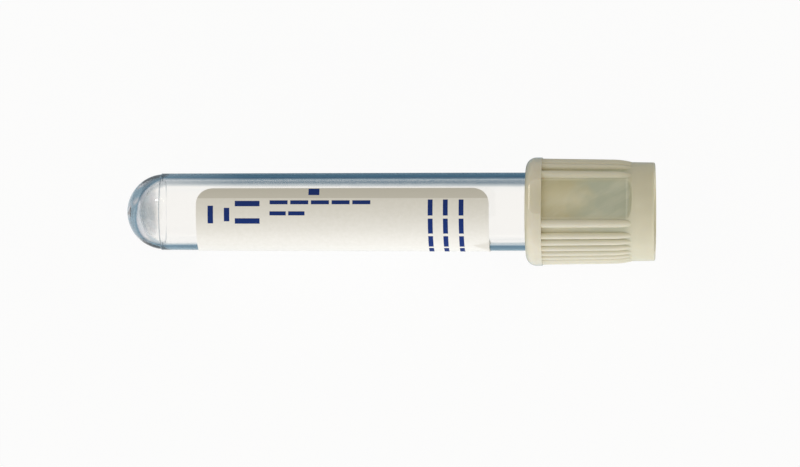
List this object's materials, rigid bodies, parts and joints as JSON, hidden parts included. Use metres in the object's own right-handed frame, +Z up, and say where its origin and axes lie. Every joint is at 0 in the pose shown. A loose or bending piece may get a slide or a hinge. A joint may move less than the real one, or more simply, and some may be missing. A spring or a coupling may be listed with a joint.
{
  "type": "blood collection tube",
  "caption": "Clear round-ended blood collection tube lying on its side, with a wrapped paper label, dried additive and a ribbed push-on safety closure over a rubber stopper.",
  "frame": {"origin": "centre of the bounding box in plan, on the table that the tube lies on", "axes": "+X from the round end towards the closure, +Z up, +Y to the left when looking along +X"},
  "size_m": [0.0878, 0.018, 0.0173],
  "materials": {
    "clear_pet": "clear moulded PET with a faint blue tint",
    "label_paper": "satin coated paper",
    "dried_additive": "dry powder",
    "shield_plastic": "satin translucent polyethylene",
    "stopper_rubber": "matt bromobutyl rubber"
  },
  "bodies": {
    "tube_body": {"tube": "clear_pet", "label": "label_paper", "additive": "dried_additive"},
    "closure": {"shield": "shield_plastic", "stopper": "stopper_rubber"}
  },
  "joints": [
    {"name": "closure_pull", "type": "slide", "parent": "tube_body", "child": "closure", "axis": [0.9994, 0, 0.0343], "range_m": [0, 0.03]}
  ]
}
